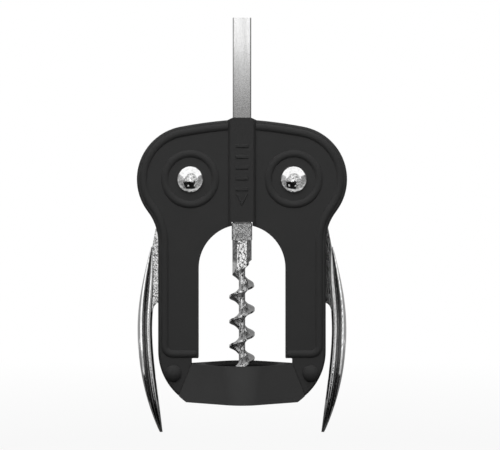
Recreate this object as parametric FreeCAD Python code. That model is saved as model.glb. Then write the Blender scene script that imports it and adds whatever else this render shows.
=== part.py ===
import FreeCAD, Part
import math
import os

Vector = FreeCAD.Vector

# A wing corkscrew, in millimetres. +X is to the right, +Z is up along the rack bar, and the front
# faces -Y. The origin is on the worm's axis, at the height where a bottle's lip seats in the collar.

# ---- sheet, clearances and edges ----
wall = 1.5                   # sheet of the two frame plates
rim_radius = 1.1             # rounding of the plates' outer edge
shaft_clearance = 0.05       # radial, between a pin and what turns or seats on it
seam_gap = 0.15              # between the collar and the edges of the plates
press_gap = 0.02             # between a driven pin and its hole
overrun = 1.0                # of a cutting tool past the face that it cuts
same = 0.001                 # places nearer than this are the same

# ---- rack bar ----
bar_width = 7.4
bar_depth = 7.0
bar_edge = 0.5               # chamfer along the bar's four edges
bar_head_length = 15.6       # plain stretch above the teeth
bar_side_clearance = 0.25    # to the flanks of the channel
bar_face_clearance = 0.15    # to the front and rear of the channel
travel = 40.0                # of the bar, from rest to fully down

# ---- teeth of the bar and of the lever sectors ----
tooth_module = 1.0
gear_teeth = 36              # of a full circle, a sector holds fewer
pressure_angle = 20.0
addendum_factor = 0.9
dedendum_factor = 1.1
backlash = 0.14
tooth_recess = 0.2           # of the rack tips below the bar's side
sector_thickness = 3.0
sector_side_clearance = 0.2  # to the walls of the pocket in the bar
sector_rim_clearance = 0.9   # from the sector tips to the plates' rim

# ---- levers ----
lever_thickness = 3.5        # of the hub and the arm
hub_radius = 16.4            # of the sector disc where it has no teeth
boss_radius = 9.0
grip_gap = 2.5               # from the leg to the inner edge of the grip
grip_thickness = 5.8         # across the fullest part, seen from the front
grip_width = 17.0            # across the leaf, front to rear
grip_crown_radius = 25.0     # of the leaf's outer face, across
grip_edge = 0.8              # rim of the leaf at its widest
grip_tip_edge = 0.3          # rim of the leaf at its ends
grip_swell = 0.8             # the lower, the blunter the leaf's ends
hollow_share = 0.29          # of the way from the rim to the inner edge, seen from the front
hollow_middle = 0.45         # of the leaf's half width, where the hollow is deepest
spine_thickness = 4.6        # of the spine behind the leaf, front to rear
spine_end_share = 0.75       # of the leaf's ends that the spine takes up
spine_edge = 0.45            # of its inner edge, as a share of its thickness
spine_crest = 0.42           # of the way from the inner edge, where it is thickest
spine_crown = 1.06           # of that place over the spine's foot
ridge_low_gap = 0.7          # from the leg to the spine's inner edge, at the web's end
ridge_top_depth = 0.9        # of that edge inside the leaf's upper end
grip_bend_drop = 15.0        # from the fullest part down to where the inner edge runs straight
grip_top_drop = 27.0         # from the pivot down to the leaf's upper end
grip_full_drop = 60.5        # from the pivot down to the fullest part
grip_tip_drop = 101.0        # from the pivot down to the tip
grip_outer_radius = 97.0     # of the grip's outer edge, seen from the front
grip_straight_rise = 22.0    # from the fullest part up to where the outer edge runs straight
grip_inner_radius = 120.0    # of its inner edge
grip_tip_size = 1.3          # of the leaf's lower end, front to rear
grip_top_size = 4.4          # and of its upper end
web_end_drop = 49.0          # from the pivot down to where the arm's web ends
web_fillet = 3.6
web_join_drop = 3.2          # from the leaf's upper end down to the web's outer edge
arm_outer_angle = -42.0      # where the arm's edges leave the hub, round the pivot
arm_inner_angle = -76.0

# ---- pivots ----
pivot_height = 80.5
pivot_pin_radius = 2.75
dome_radius = 5.3
dome_height = 2.9
dome_rim_share = 0.18        # of a rivet head's height, straight below its dome
cap_bore_depth = 1.6
washer_radius = 7.5
washer_thickness = 0.5
washer_play = 0.05

# ---- frame plates ----
shoulder_rise = 2.25         # of the shoulders beside the channel, over the head circles
crown_angle = 79.0           # where the shoulder curve meets the head circle
leg_half_width = 33.4
waist_radius = 20.0
corner_radius = 23.5
corner_height = 12.1         # where the lower corner's arc starts
arch_radius = 17.4
arch_centre_height = 45.0
mouth_relief = 1.0           # of the channel's mouth above the arch
mouth_side = 0.1             # of the mouth beside the worm block
stop_gap = 0.2               # between the worm block and the mouth, at rest
rib_shoulder = 0.65          # of the channel's crest beside its bore
rib_flank = 1.0
rib_rise = 0.85              # of the channel over the shoulders
rib_edge = 0.9
rib_slope = 2.0              # run of the channel's sloping upper corners
slot_top_angle = 79.0        # end of the lever slot, round the pivot
slot_bottom_height = 27.0

# ---- pressed beads ----
bead_width = 3.0
bead_height = 0.7
bead_root = 0.4              # of a bead inside the sheet
bead_inset = 2.7             # of the outline bead's crest from the edge
ring_bead_radius = 10.1
bead_foot_height = 10.9      # of the level run above the lower corner
bead_foot_radius = 3.2
bead_end_inset = 1.8         # of the level run's end from the leg's inner edge

# ---- collar ----
lip_bore_radius = 15.3
lip_bore_depth = 8.0
guide_hole_radius = 13.6
guide_height = 6.85          # of the collar above the lip's seat
guide_chamfer = 1.4
lip_chamfer = 1.0
collar_top_half_width = 20.1
collar_flare = 0.402         # growth of the half width for each millimetre down
collar_top_reach = 17.0      # of the front, from the axis
collar_bottom_reach = 20.3
collar_top_nose = 12.0       # radius of the front's rounded peak
collar_bottom_nose = 9.6
notch_height = 2.4
notch_radius = 0.8
ear_gap = 0.15
ear_top_gap = 0.3
lap_reach = 0.9              # of the collar's tongue into the plates' lower edge, past the seam
lap_half = 0.8               # of the tongue, front to rear
lap_top = -3.0               # where the tongue ends above, inside the ear

# ---- leg rivets ----
leg_rivet_inset = 6.0        # from the leg's outer edge
leg_rivet_height = 3.2
leg_rivet_radius = 1.75
leg_dome_radius = 3.3
leg_dome_height = 2.0

# ---- worm and its block ----
block_width = 8.15
block_depth = 8.0
block_height = 7.2
block_edge = 0.35
tang_width = 5.0
tang_depth = 4.6
tang_length = 3.3
socket_gap = 0.05
cross_pin_radius = 0.8
cross_pin_recess = 0.1       # of a pin's ends below the block's sides
spigot_radius = 2.3
spigot_length = 3.2
hex_across_corners = 7.7
hex_length = 7.75            # from the block down to the start of the screw
worm_radius = 5.1
worm_core_radius = 1.3
worm_root_radius = 0.8       # where the flanks would end inside the core
worm_pitch = 9.85
worm_crest_half = 0.4
worm_root_half = 3.6
flank_reach_share = 0.4      # where a flank's hollow is deepest, from the core to the crest
flank_rise_share = 0.3
worm_length = 47.35          # from its start to the tip
worm_tip_length = 8.0
worm_tip_size = 0.15
worm_run_out = 13.0          # over which the flight grows to its full width
run_out_radius = 2.6         # of the flight inside the shank

# ---- what follows from them ----
pitch = math.pi * tooth_module
pitch_radius = gear_teeth * tooth_module / 2
addendum = addendum_factor * tooth_module
dedendum = dedendum_factor * tooth_module
tip_radius = pitch_radius + addendum
root_radius = pitch_radius - dedendum
rack_tip_x = bar_width / 2 - tooth_recess
rack_pitch_x = rack_tip_x - addendum
rack_root_x = rack_pitch_x - dedendum
pivot_x = pitch_radius + rack_pitch_x
swing_teeth = math.ceil(travel / pitch)
last_tooth = swing_teeth + 1
last_gap = swing_teeth + 2

half_gap = lever_thickness / 2 + washer_thickness + washer_play
face_depth = half_gap + wall
channel_half_width = bar_width / 2 + bar_side_clearance
channel_half_depth = bar_depth / 2 + bar_face_clearance
rib_depth = channel_half_depth + wall
rib_half_width = channel_half_width + rib_shoulder
rib_base_half_width = rib_half_width + rib_flank

head_radius = tip_radius + sector_rim_clearance + wall
shoulder_height = pivot_height + head_radius + shoulder_rise
rib_top = shoulder_height + rib_rise
mouth_height = arch_centre_height + arch_radius + mouth_relief
frame_bottom = -lip_bore_depth
notch_top = guide_height + notch_height

block_top = mouth_height - stop_gap
block_bottom = block_top - block_height
worm_start = block_bottom - hex_length
worm_tip = worm_start - worm_length
bar_top = pivot_height + (last_gap + 0.5) * pitch + bar_head_length
grip_top = pivot_height - grip_top_drop
grip_full = pivot_height - grip_full_drop
grip_tip = pivot_height - grip_tip_drop
web_end = pivot_height - web_end_drop
leg_rivet_x = leg_half_width - leg_rivet_inset
grip_inner_x = leg_half_width + grip_gap
grip_outer_x = grip_inner_x + grip_thickness

across = Vector(0, 1, 0)
upward = Vector(0, 0, 1)
here = Vector(0, 0, 0)


# ---- plain shapes ----
def front_point(x, z, y=0.0):
    """A point given as it is seen from the front."""
    return Vector(x, y, z)


def line(start, end):
    return Part.LineSegment(start, end).toShape()


def arc_through(start, middle, end):
    return Part.Arc(start, middle, end).toShape()


def polar(centre_x, centre_z, radius, degrees):
    """A point on a circle seen from the front, counted from +X towards +Z."""
    angle = math.radians(degrees)
    return front_point(centre_x + radius * math.cos(angle), centre_z + radius * math.sin(angle))


def arc(centre_x, centre_z, radius, start_deg, end_deg):
    middle_deg = (start_deg + end_deg) / 2
    start = polar(centre_x, centre_z, radius, start_deg)
    middle = polar(centre_x, centre_z, radius, middle_deg)
    end = polar(centre_x, centre_z, radius, end_deg)
    return arc_through(start, middle, end)


def face_of(edges):
    return Part.Face(Part.Wire(Part.__sortEdges__(edges)))


def polygon_face(points):
    return Part.Face(Part.makePolygon(points + points[:1]))


def slab(face, y_start, y_end):
    """A face in the front plane, made solid from one depth to another."""
    placed = face.copy()
    placed.translate(Vector(0, y_start, 0))
    return placed.extrude(Vector(0, y_end - y_start, 0))


def box(x_half, y_half, z_low, z_high):
    corner = Vector(-x_half, -y_half, z_low)
    return Part.makeBox(2 * x_half, 2 * y_half, z_high - z_low, corner)


def rod(radius, x, z, y_start, y_end):
    """A cylinder along the front-to-rear direction."""
    return Part.makeCylinder(radius, y_end - y_start, front_point(x, z, y_start), across)


def upright(radius, z_low, z_high):
    return Part.makeCylinder(radius, z_high - z_low, Vector(0, 0, z_low), upward)


def mirrored_left(shape):
    return shape.mirror(here, Vector(1, 0, 0))


def mirrored_rear(shape):
    return shape.mirror(here, Vector(0, 1, 0))


def dome(radius, height):
    """A rivet head on the origin, standing towards -Y on a short straight rim."""
    rim = height * dome_rim_share
    cap = height - rim
    sphere_radius = (radius ** 2 + cap ** 2) / (2 * cap)
    rise = math.degrees(math.asin(radius / sphere_radius)) / 2
    turn = math.radians(rise)
    centre_y = -height + sphere_radius
    top = Vector(0, -height, 0)
    middle = Vector(sphere_radius * math.sin(turn), centre_y - sphere_radius * math.cos(turn), 0)
    edge = Vector(radius, -rim, 0)
    foot = Vector(radius, 0, 0)
    outline = [arc_through(top, middle, edge), line(edge, foot), line(foot, here), line(here, top)]
    return face_of(outline).revolve(here, across, 360)


# ---- frame plates ----
def waist_centre():
    """The waist's arc touches the head circle and the straight leg."""
    x = leg_half_width + waist_radius
    reach = head_radius + waist_radius
    drop = math.sqrt(reach ** 2 - (x - pivot_x) ** 2)
    return x, pivot_height - drop


def crown_circle():
    """The shoulder's arc touches the head circle at crown_angle and starts beside the channel."""
    angle = math.radians(crown_angle)
    start_x = rib_base_half_width - pivot_x
    start_z = shoulder_height - pivot_height
    along = start_x * math.cos(angle) + start_z * math.sin(angle)
    reach_squared = start_x ** 2 + start_z ** 2
    radius = (reach_squared + head_radius ** 2 - 2 * head_radius * along) / (2 * (head_radius - along))
    offset = head_radius - radius
    centre_x = pivot_x + offset * math.cos(angle)
    centre_z = pivot_height + offset * math.sin(angle)
    return centre_x, centre_z, radius


def crown_start_angle(inset):
    """Where the inset shoulder arc meets the level top edge."""
    centre_x, centre_z, radius = crown_circle()
    rise = shoulder_height - inset - centre_z
    run = math.sqrt((radius - inset) ** 2 - rise ** 2)
    if rib_base_half_width < centre_x:
        run = -run
    return math.degrees(math.atan2(rise, run))


def side_edges(inset):
    """The right side of the frame's outline, from the shoulder down to the lower corner's arc."""
    crown_x, crown_z, crown_radius = crown_circle()
    waist_x, waist_z = waist_centre()
    waist_angle = math.degrees(math.atan2(waist_z - pivot_height, waist_x - pivot_x))
    crown_from = crown_start_angle(inset)
    leg_x = leg_half_width - inset
    return [
        arc(crown_x, crown_z, crown_radius - inset, crown_from, crown_angle),
        arc(pivot_x, pivot_height, head_radius - inset, crown_angle, waist_angle),
        arc(waist_x, waist_z, waist_radius + inset, waist_angle + 180, 180),
        line(front_point(leg_x, waist_z), front_point(leg_x, corner_height)),
    ]


def frame_face(inset):
    """The frame seen from the front, without its window, drawn in by a named inset."""
    right = side_edges(inset)
    radius = corner_radius - inset
    centre_x = leg_half_width - corner_radius
    bottom = frame_bottom + inset
    end_deg = -math.degrees(math.asin((corner_height - bottom) / radius))
    corner_end = polar(centre_x, corner_height, radius, end_deg)
    right.append(arc(centre_x, corner_height, radius, 0, end_deg))
    right.append(line(corner_end, front_point(0, bottom)))
    top = right[0].Vertexes[0].Point
    right.insert(0, line(front_point(0, top.z), top))
    return face_of(right + [mirrored_left(edge) for edge in right])


def arch_face(grow, bottom):
    """The window between the legs, made wider by a named growth."""
    half = arch_radius + grow
    left = front_point(-half, arch_centre_height)
    right = front_point(half, arch_centre_height)
    return face_of([
        arc_through(right, front_point(0, arch_centre_height + half), left),
        line(left, front_point(-half, bottom)),
        line(front_point(-half, bottom), front_point(half, bottom)),
        line(front_point(half, bottom), right),
    ])


def collar_half_width(z):
    return collar_top_half_width + collar_flare * (guide_height - z)


def seam_lap(grow):
    """The tongue that covers the right seam's lower end, made larger by a named gap."""
    low = frame_bottom - overrun
    top = lap_top + grow
    return slab(polygon_face([
        front_point(collar_half_width(top), top),
        front_point(collar_half_width(top) + lap_reach + grow, top),
        front_point(collar_half_width(low) + lap_reach + grow, low),
        front_point(collar_half_width(low), low),
    ]), -lap_half - grow, lap_half + grow)


def collar_zone():
    """What the collar and the relief notches above it take from the plates."""
    low = frame_bottom - overrun
    top_x = collar_half_width(guide_height) + seam_gap
    low_x = collar_half_width(low) + seam_gap
    flare = slab(polygon_face([
        front_point(-top_x, guide_height),
        front_point(top_x, guide_height),
        front_point(low_x, low),
        front_point(-low_x, low),
    ]), -face_depth - overrun, 0)
    notch = Part.makeBox(2 * top_x, face_depth + overrun, notch_height,
                         Vector(-top_x, -face_depth - overrun, guide_height))
    corners = [e for e in notch.Edges if is_upper_depth_edge(e)]
    return flare.fuse(notch.makeFillet(notch_radius, corners))


def is_upper_depth_edge(edge):
    start, end = edge.Vertexes[0].Point, edge.Vertexes[-1].Point
    along_y = abs(start.x - end.x) + abs(start.z - end.z) < same
    return along_y and start.z > guide_height + notch_height / 2


def bead_profile(point, direction):
    """A low arc over the sheet, square to a direction seen from the front."""
    side = Vector(-direction.z, 0, direction.x)
    side.multiply(bead_width / 2)
    crest = point + Vector(0, -face_depth - bead_height, 0)
    left = point + side + Vector(0, -face_depth, 0)
    right = point - side + Vector(0, -face_depth, 0)
    sink = Vector(0, bead_root, 0)
    return Part.Wire([
        arc_through(left, crest, right),
        line(right, right + sink),
        line(right + sink, left + sink),
        line(left + sink, left),
    ])


def outline_bead():
    """The bead that follows the frame's right edge and turns in above the lower corner."""
    path = side_edges(bead_inset)[:3]
    waist_x, waist_z = waist_centre()
    leg_x = leg_half_width - bead_inset
    bend_z = bead_foot_height + bead_foot_radius
    end = front_point(arch_radius + bead_end_inset, bead_foot_height)
    path.append(line(front_point(leg_x, waist_z), front_point(leg_x, bend_z)))
    path.append(arc(leg_x - bead_foot_radius, bend_z, bead_foot_radius, 0, -90))
    path.append(line(front_point(leg_x - bead_foot_radius, bead_foot_height), end))
    start = path[0].Vertexes[0].Point
    tangent = path[0].tangentAt(path[0].FirstParameter)
    run = Part.Wire(path).makePipeShell([bead_profile(start, tangent)], True, False)
    return run, bead_end(end)


def bead_end(point):
    """Half of the bead's arc turned about its end."""
    crest = point + Vector(0, -face_depth - bead_height, 0)
    half = bead_width / 2
    radius = (half ** 2 + bead_height ** 2) / (2 * bead_height)
    turn = math.asin(half / radius) / 2
    centre = crest + Vector(0, radius, 0)
    middle = centre + Vector(radius * math.sin(turn), -radius * math.cos(turn), 0)
    edge = point + Vector(half, -face_depth, 0)
    sink = Vector(0, bead_root, 0)
    inner = point + Vector(0, -face_depth, 0) + sink
    outline = [
        arc_through(crest, middle, edge),
        line(edge, edge + sink),
        line(edge + sink, inner),
        line(inner, crest),
    ]
    return face_of(outline).revolve(point, across, 360)


def ring_bead():
    """The round bead about a pivot."""
    start = front_point(pivot_x + ring_bead_radius, pivot_height)
    profile = Part.Face(bead_profile(start, Vector(0, 0, 1)))
    return profile.revolve(front_point(pivot_x, pivot_height), across, 360)


def channel_rib():
    """The raised run down the middle, which guides the bar."""
    low = arch_centre_height
    base_y = -face_depth + bead_root
    points = [
        Vector(-rib_base_half_width, base_y, low),
        Vector(-rib_base_half_width, -face_depth, low),
        Vector(-rib_half_width, -rib_depth, low),
        Vector(rib_half_width, -rib_depth, low),
        Vector(rib_base_half_width, -face_depth, low),
        Vector(rib_base_half_width, base_y, low),
    ]
    rib = polygon_face(points).extrude(Vector(0, 0, rib_top - low))
    crest_edges = [e for e in rib.Edges if is_crest_edge(e)]
    right = [
        front_point(rib_base_half_width, low),
        front_point(rib_base_half_width, shoulder_height),
        front_point(rib_base_half_width - rib_slope, rib_top),
    ]
    left = [front_point(-point.x, point.z) for point in reversed(right)]
    return rib.makeFillet(rib_edge, crest_edges).common(slab(polygon_face(right + left), -rib_depth, 0))


def is_crest_edge(edge):
    ends = [v.Point for v in edge.Vertexes]
    return all(abs(p.y + rib_depth) < same for p in ends) and abs(ends[0].z - ends[-1].z) > same


def channel_bore():
    """The space in which the bar slides, open to the rear."""
    low = arch_centre_height
    flare = channel_half_width + rib_shoulder
    points = [
        Vector(-flare, 0, low),
        Vector(-flare, -half_gap, low),
        Vector(-channel_half_width, -channel_half_depth, low),
        Vector(channel_half_width, -channel_half_depth, low),
        Vector(flare, -half_gap, low),
        Vector(flare, 0, low),
    ]
    return polygon_face(points).extrude(Vector(0, 0, rib_top + overrun - low))


def lever_space():
    """The hollow between the plates, with the slots that the levers swing through."""
    hollow = slab(frame_face(wall), -half_gap, 0)
    arch_wall = slab(arch_face(wall, notch_top), -half_gap, 0)
    hollow = hollow.cut(arch_wall)
    reach = 3 * head_radius
    slot = slab(polygon_face([
        front_point(pivot_x, pivot_height),
        polar(pivot_x, pivot_height, reach, slot_top_angle),
        front_point(pivot_x + reach, pivot_height + reach),
        front_point(pivot_x + reach, slot_bottom_height),
        front_point(leg_half_width - 2 * wall, slot_bottom_height),
    ]), -half_gap, 0)
    return hollow.fuse([slot, mirrored_left(slot)])


def front_plate():
    """A pressed sheet with a rounded rim, beads, a channel for the bar and a flanged window."""
    blank = slab(frame_face(0), -face_depth, 0)
    rim = [e for e in blank.Edges if is_front_edge(e) and e.BoundBox.ZMax > frame_bottom + same]
    blank = blank.makeFillet(rim_radius, rim)
    run, end = outline_bead()
    ring = ring_bead()
    plate = blank.fuse(channel_rib())
    for raised in (run, end, ring):
        plate = plate.fuse(raised)
        plate = plate.fuse(mirrored_left(raised))
    plate = plate.cut(slab(arch_face(0, frame_bottom - overrun), -rib_depth - overrun, 0))
    mouth_half = block_width / 2 + mouth_side
    mouth = Part.makeBox(2 * mouth_half, rib_depth + overrun, arch_radius + mouth_relief,
                         Vector(-mouth_half, -rib_depth - overrun, arch_centre_height))
    lap = seam_lap(ear_gap)
    cuts = [mouth, collar_zone(), lap, mirrored_left(lap), lever_space(), channel_bore()]
    for side in (-1, 1):
        pivot_hole = pivot_pin_radius + press_gap
        rivet_hole = leg_rivet_radius + press_gap
        cuts.append(rod(pivot_hole, side * pivot_x, pivot_height, -face_depth - overrun, 0))
        cuts.append(rod(rivet_hole, side * leg_rivet_x, leg_rivet_height, -face_depth - overrun, 0))
    return plate.cut(cuts).removeSplitter()


def is_front_edge(edge):
    return abs(edge.BoundBox.YMin + face_depth) < same and abs(edge.BoundBox.YMax + face_depth) < same


# ---- collar ----
def collar_outline(z, nose, reach):
    """A flat-sided plan with two rounded peaks, one to the front and one to the rear."""
    half = collar_half_width(z)
    centre_y = reach - nose
    away = math.hypot(half, face_depth - centre_y)
    touch = math.atan2(face_depth - centre_y, half) + math.acos(nose / away)
    touch_x = nose * math.cos(touch)
    touch_y = centre_y + nose * math.sin(touch)
    front = [
        line(Vector(half, -face_depth, z), Vector(touch_x, -touch_y, z)),
        arc_through(Vector(touch_x, -touch_y, z), Vector(0, -reach, z), Vector(-touch_x, -touch_y, z)),
        line(Vector(-touch_x, -touch_y, z), Vector(-half, -face_depth, z)),
    ]
    left = line(Vector(-half, -face_depth, z), Vector(-half, face_depth, z))
    rear = [
        line(Vector(-half, face_depth, z), Vector(-touch_x, touch_y, z)),
        arc_through(Vector(-touch_x, touch_y, z), Vector(0, reach, z), Vector(touch_x, touch_y, z)),
        line(Vector(touch_x, touch_y, z), Vector(half, face_depth, z)),
    ]
    right = line(Vector(half, face_depth, z), Vector(half, -face_depth, z))
    return Part.Wire(front + [left] + rear + [right])


def neck_collar():
    """The guide that drops over the bottle's lip, with an ear at each side between the plates."""
    top = collar_outline(guide_height, collar_top_nose, collar_top_reach)
    bottom = collar_outline(frame_bottom, collar_bottom_nose, collar_bottom_reach)
    body = Part.makeLoft([bottom, top], True, True)
    depth = collar_bottom_reach + overrun
    lap = seam_lap(0)
    body = body.fuse([lap, mirrored_left(lap)]).common(slab(frame_face(0), -depth, depth))
    ears = slab(frame_face(wall + ear_gap), -half_gap, half_gap)
    ear_zone = box(leg_half_width, half_gap, frame_bottom, notch_top - ear_top_gap)
    inner = box(lip_bore_radius + wall, half_gap, frame_bottom, notch_top)
    tall = box(collar_top_half_width, half_gap, guide_height, notch_top)
    ears = ears.common(ear_zone).cut([inner, tall])
    seat = upright(lip_bore_radius, frame_bottom, 0)
    hole = upright(guide_hole_radius, 0, guide_height)
    lead = Part.makeCone(lip_bore_radius + lip_chamfer, lip_bore_radius, lip_chamfer,
                         Vector(0, 0, frame_bottom), upward)
    flare = Part.makeCone(guide_hole_radius, guide_hole_radius + guide_chamfer, guide_chamfer,
                          Vector(0, 0, guide_height - guide_chamfer), upward)
    cuts = [seat, hole, lead, flare]
    for side in (-1, 1):
        hole_radius = leg_rivet_radius + press_gap
        cuts.append(rod(hole_radius, side * leg_rivet_x, leg_rivet_height, -half_gap, half_gap))
    return body.fuse(ears).cut(cuts).removeSplitter()


# ---- pivots and rivets, for the right side ----
def pivot_pin():
    """A domed head on the front plate and a shank that runs into the rear cap."""
    head = dome(dome_radius, dome_height)
    head.translate(front_point(pivot_x, pivot_height, -face_depth))
    shank_end = face_depth + cap_bore_depth - press_gap
    shank = rod(pivot_pin_radius, pivot_x, pivot_height, -face_depth - wall / 2, shank_end)
    return head.fuse(shank)


def pivot_cap():
    """The rear dome, pressed over the end of the pin."""
    head = mirrored_rear(dome(dome_radius, dome_height))
    head.translate(front_point(pivot_x, pivot_height, face_depth))
    bore_end = face_depth + cap_bore_depth
    bore = rod(pivot_pin_radius + press_gap, pivot_x, pivot_height, face_depth - overrun, bore_end)
    return head.cut(bore)


def thrust_washer():
    """The washer between the front plate and the lever's hub."""
    outer = rod(washer_radius, pivot_x, pivot_height, -half_gap, -half_gap + washer_thickness)
    bore = pivot_pin_radius + shaft_clearance
    return outer.cut(rod(bore, pivot_x, pivot_height, -half_gap, -half_gap + washer_thickness))


def leg_rivet():
    """A rivet with a dome at the front and at the rear, through the plates and the collar's ear."""
    head = dome(leg_dome_radius, leg_dome_height)
    front = head.copy()
    front.translate(front_point(leg_rivet_x, leg_rivet_height, -face_depth))
    rear = mirrored_rear(head)
    rear.translate(front_point(leg_rivet_x, leg_rivet_height, face_depth))
    shank = rod(leg_rivet_radius, leg_rivet_x, leg_rivet_height, -face_depth, face_depth)
    return shank.fuse([front, rear])


# ---- rack bar, block and worm ----
def rack_gap(number):
    """One tooth gap of the bar's right side."""
    flank_slope = math.tan(math.radians(pressure_angle))
    half = (pitch + backlash) / 4
    height = pivot_height + number * pitch
    root_half = half - dedendum * flank_slope
    mouth_x = bar_width / 2 + tooth_recess
    mouth_half = half + (mouth_x - rack_pitch_x) * flank_slope
    face = polygon_face([
        front_point(rack_root_x, height - root_half),
        front_point(mouth_x, height - mouth_half),
        front_point(mouth_x, height + mouth_half),
        front_point(rack_root_x, height + root_half),
    ])
    pocket = sector_thickness / 2 + sector_side_clearance
    return slab(face, -pocket, pocket)


def rack_bar():
    """A plain square bar whose teeth lie in a pocket down each side."""
    bar = box(bar_width / 2, bar_depth / 2, block_top, bar_top)
    bar = bar.makeChamfer(bar_edge, [e for e in bar.Edges if e.Length > bar_top - block_top - same])
    bar = bar.fuse(box(tang_width / 2, tang_depth / 2, block_top - tang_length, block_top))
    pocket_y = sector_thickness / 2 + sector_side_clearance
    first_z = pivot_height - 1.5 * pitch
    last_z = pivot_height + (last_gap + 0.5) * pitch
    recess = Part.makeBox(tooth_recess + overrun, 2 * pocket_y, last_z - first_z,
                          Vector(rack_tip_x, -pocket_y, first_z))
    gaps = [rack_gap(number) for number in range(-1, last_gap + 1)]
    cuts = [recess] + gaps
    cuts += [mirrored_left(shape) for shape in cuts]
    cuts.append(cross_hole(tang_pin_height(), cross_pin_radius + press_gap))
    return bar.cut(cuts).removeSplitter()


def tang_pin_height():
    return block_top - tang_length / 2


def spigot_pin_height():
    return block_bottom + spigot_length / 2


def cross_hole(height, radius):
    """A cylinder from side to side through the block."""
    half = block_width / 2
    return Part.makeCylinder(radius, 2 * half, Vector(-half, 0, height), Vector(1, 0, 0))


def end_block():
    """The square block that joins the bar and the worm, and stops against the channel's mouth."""
    block = box(block_width / 2, block_depth / 2, block_bottom, block_top)
    block = block.makeChamfer(block_edge, block.Edges)
    socket = box(tang_width / 2 + socket_gap, tang_depth / 2 + socket_gap,
                 block_top - tang_length - socket_gap, block_top)
    bore = upright(spigot_radius + socket_gap, block_bottom, block_bottom + spigot_length + socket_gap)
    holes = [cross_hole(z, cross_pin_radius + press_gap) for z in (tang_pin_height(), spigot_pin_height())]
    return block.cut([socket, bore] + holes)


def cross_pin(height):
    half = block_width / 2 - cross_pin_recess
    return Part.makeCylinder(cross_pin_radius, 2 * half, Vector(-half, 0, height), Vector(1, 0, 0))


def flank_arc(height, hand):
    """One hollow flank of the flight, above (hand 1) or below (hand -1) a crest at the right side."""
    middle_x = worm_core_radius + (worm_radius - worm_core_radius) * flank_reach_share
    middle_z = worm_crest_half + (worm_root_half - worm_crest_half) * flank_rise_share
    root = front_point(worm_root_radius, height + hand * worm_root_half)
    middle = front_point(middle_x, height + hand * middle_z)
    crest = front_point(worm_radius, height + hand * worm_crest_half)
    return arc_through(root, middle, crest)


def worm_flight():
    """A right-handed flight with hollow flanks, swept past both ends of the screw."""
    turns = math.ceil(worm_length / worm_pitch) + 1
    low = worm_start - turns * worm_pitch
    lower = flank_arc(low, -1)
    upper = flank_arc(low, 1)
    crest = line(lower.Vertexes[-1].Point, upper.Vertexes[-1].Point)
    root = line(upper.Vertexes[0].Point, lower.Vertexes[0].Point)
    helix = Part.makeHelix(worm_pitch, turns * worm_pitch, worm_core_radius)
    helix.translate(Vector(0, 0, low))
    profile = Part.Wire(Part.__sortEdges__([lower, crest, upper, root]))
    return Part.Wire(helix.Edges).makePipeShell([profile], True, True)


def below_tip_cone():
    """Everything outside the sharp lower end of the worm."""
    far = 3 * worm_radius
    low = worm_tip - 3 * worm_pitch
    slope = worm_tip_length / worm_radius
    points = [
        Vector(worm_tip_size, 0, worm_tip),
        Vector(far, 0, worm_tip + (far - worm_tip_size) * slope),
        Vector(far, 0, low),
        Vector(worm_tip_size, 0, low),
    ]
    return polygon_face(points).revolve(here, upward, 360).fuse(upright(worm_tip_size, low, worm_tip))


def above_run_out():
    """Everything outside the cone on which the flight grows out of the shank."""
    far = 3 * worm_radius
    top = block_top + worm_pitch
    full = worm_start - worm_run_out
    points = [
        Vector(0, 0, worm_start),
        Vector(run_out_radius, 0, worm_start),
        Vector(worm_radius + worm_crest_half, 0, full),
        Vector(far, 0, full),
        Vector(far, 0, top),
        Vector(0, 0, top),
    ]
    return polygon_face(points).revolve(here, upward, 360)


def screw():
    """The flight on its round core, with a sharp tip below and a run-out above."""
    core = upright(worm_core_radius, worm_tip - worm_pitch, worm_start)
    return worm_flight().fuse(core).cut(below_tip_cone()).cut(above_run_out())


def hexagonal_shank():
    """A hexagon with one flat to the front, which ends on a ramp of half a turn of the screw."""
    corner = hex_across_corners / 2
    low = worm_start - worm_pitch / 2 - worm_crest_half
    corners = [polar(0, 0, corner, 60 * n) for n in range(6)]
    face = polygon_face([Vector(p.x, p.z, low) for p in corners])
    above_ramp = slab(polygon_face([
        front_point(-corner, low),
        front_point(corner, worm_start),
        front_point(corner, block_bottom),
        front_point(-corner, block_bottom),
    ]), -corner, corner)
    return face.extrude(Vector(0, 0, block_bottom - low)).common(above_ramp)


def worm():
    """A hexagonal shank with a spigot above it and the screw below it."""
    spigot = upright(spigot_radius, block_bottom, block_bottom + spigot_length)
    spigot = spigot.cut(cross_hole(spigot_pin_height(), cross_pin_radius + press_gap))
    return screw().fuse(hexagonal_shank()).fuse(spigot)


# ---- levers, for the right side ----
def involute_point(roll_deg, start_deg, hand):
    """A point of the tooth flank that leaves the base circle at start_deg."""
    base_radius = pitch_radius * math.cos(math.radians(pressure_angle))
    roll = math.radians(roll_deg)
    radius = base_radius * math.sqrt(1 + roll ** 2)
    turn = roll - math.atan(roll)
    return polar(pivot_x, pivot_height, radius, start_deg + hand * math.degrees(turn))


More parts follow.
